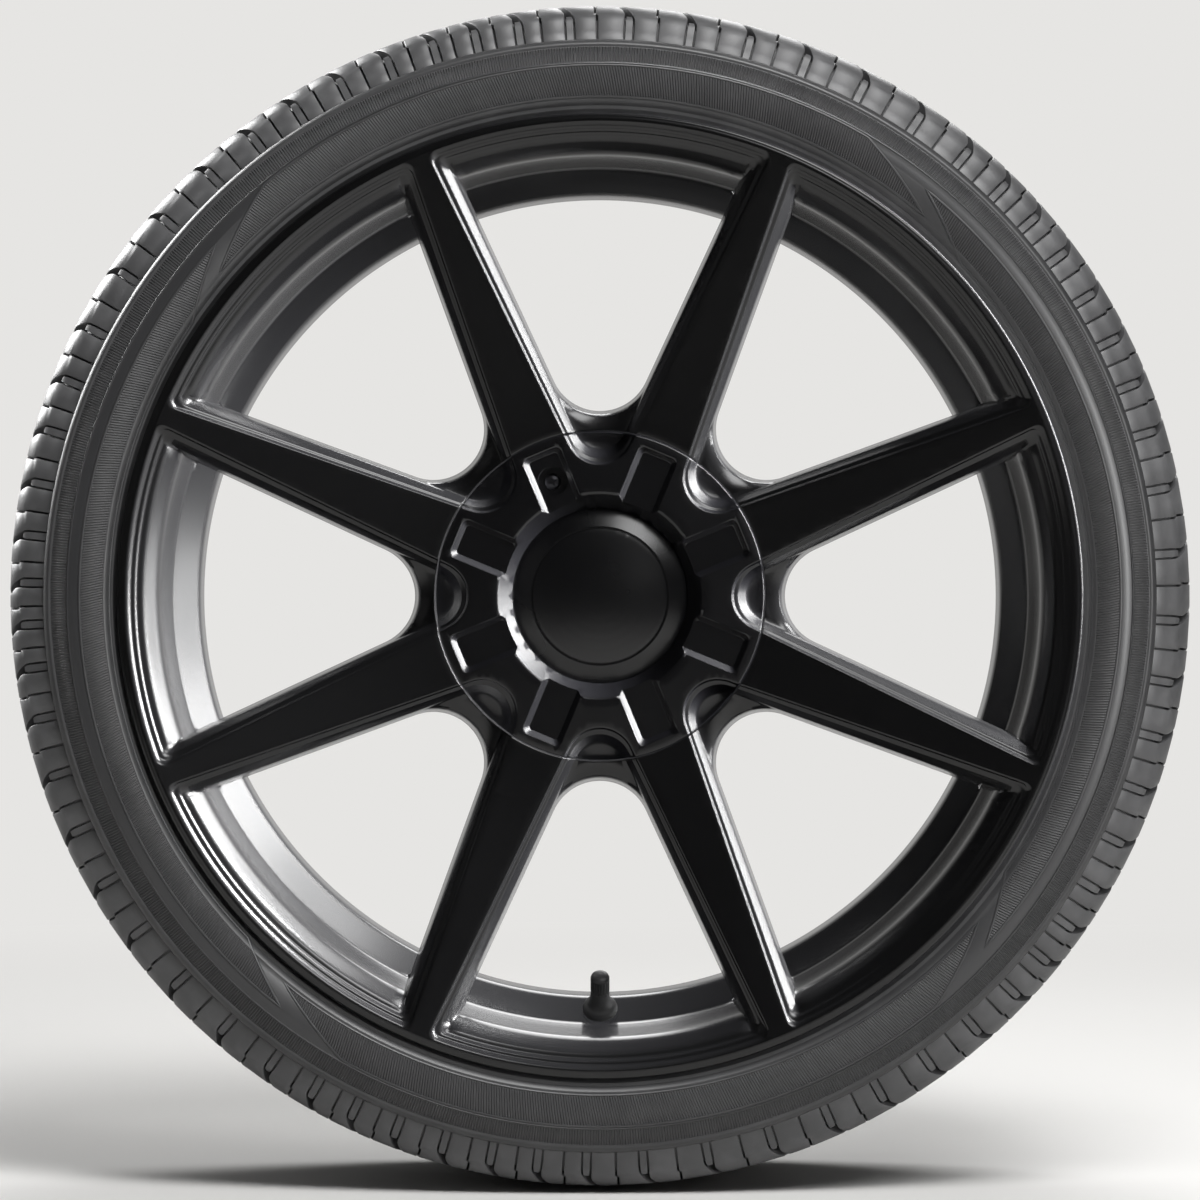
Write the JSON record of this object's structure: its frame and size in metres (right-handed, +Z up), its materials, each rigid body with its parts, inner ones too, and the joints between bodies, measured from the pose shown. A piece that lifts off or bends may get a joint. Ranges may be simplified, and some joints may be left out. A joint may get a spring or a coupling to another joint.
{
  "type": "car wheel with tyre",
  "caption": "Car wheel with a low profile tyre on a black cast spoked alloy rim, hub cover, domed centre cap and snap-in valve; bolts to a hub and rolls about its axis.",
  "frame": {"origin": "centre of the wheel, on the spin axis in the middle plane of the rim", "axes": "+Y along the spin axis towards the car, so the street side faces -Y; +Z up; the valve is at the bottom, towards -Z"},
  "size_m": [0.6371, 0.23, 0.6372],
  "materials": {
    "tyre_rubber": "matte",
    "black_alloy": "satin",
    "cover_plastic": "satin",
    "cap_plastic": "satin",
    "dark_steel": "satin",
    "spring_steel": "satin",
    "valve_rubber": "matte",
    "valve_brass": "satin",
    "red_seal": "matte",
    "seal_rubber": "matte",
    "valve_cap_plastic": "satin"
  },
  "bodies": {
    "wheel": {"tyre": "tyre_rubber", "wheel_rim": "black_alloy", "hub_cover": "cover_plastic", "cover_screw": "dark_steel", "centre_cap": "cap_plastic", "cap_spring_ring": "spring_steel", "valve_body": "valve_rubber", "valve_stem": "valve_brass", "valve_core": "valve_brass", "valve_core_seal": "red_seal", "valve_spring": "spring_steel"},
    "valve_pin": {"valve_pin": "valve_brass", "valve_pin_seal": "seal_rubber"},
    "valve_cap": {"valve_cap": "valve_cap_plastic", "valve_cap_seal": "seal_rubber"}
  },
  "joints": [
    {"name": "valve_pin_press", "type": "slide", "parent": "wheel", "child": "valve_pin", "axis": [0, 0.6428, -0.766], "range_m": [0, 0.0012], "stiffness_N_per_m": 1500, "springref_m": -0.0025, "deforming": ["valve_spring"]},
    {"name": "valve_cap_off", "type": "slide", "parent": "wheel", "child": "valve_cap", "axis": [0, -0.6428, 0.766], "range_m": [0, 0.016]}
  ]
}
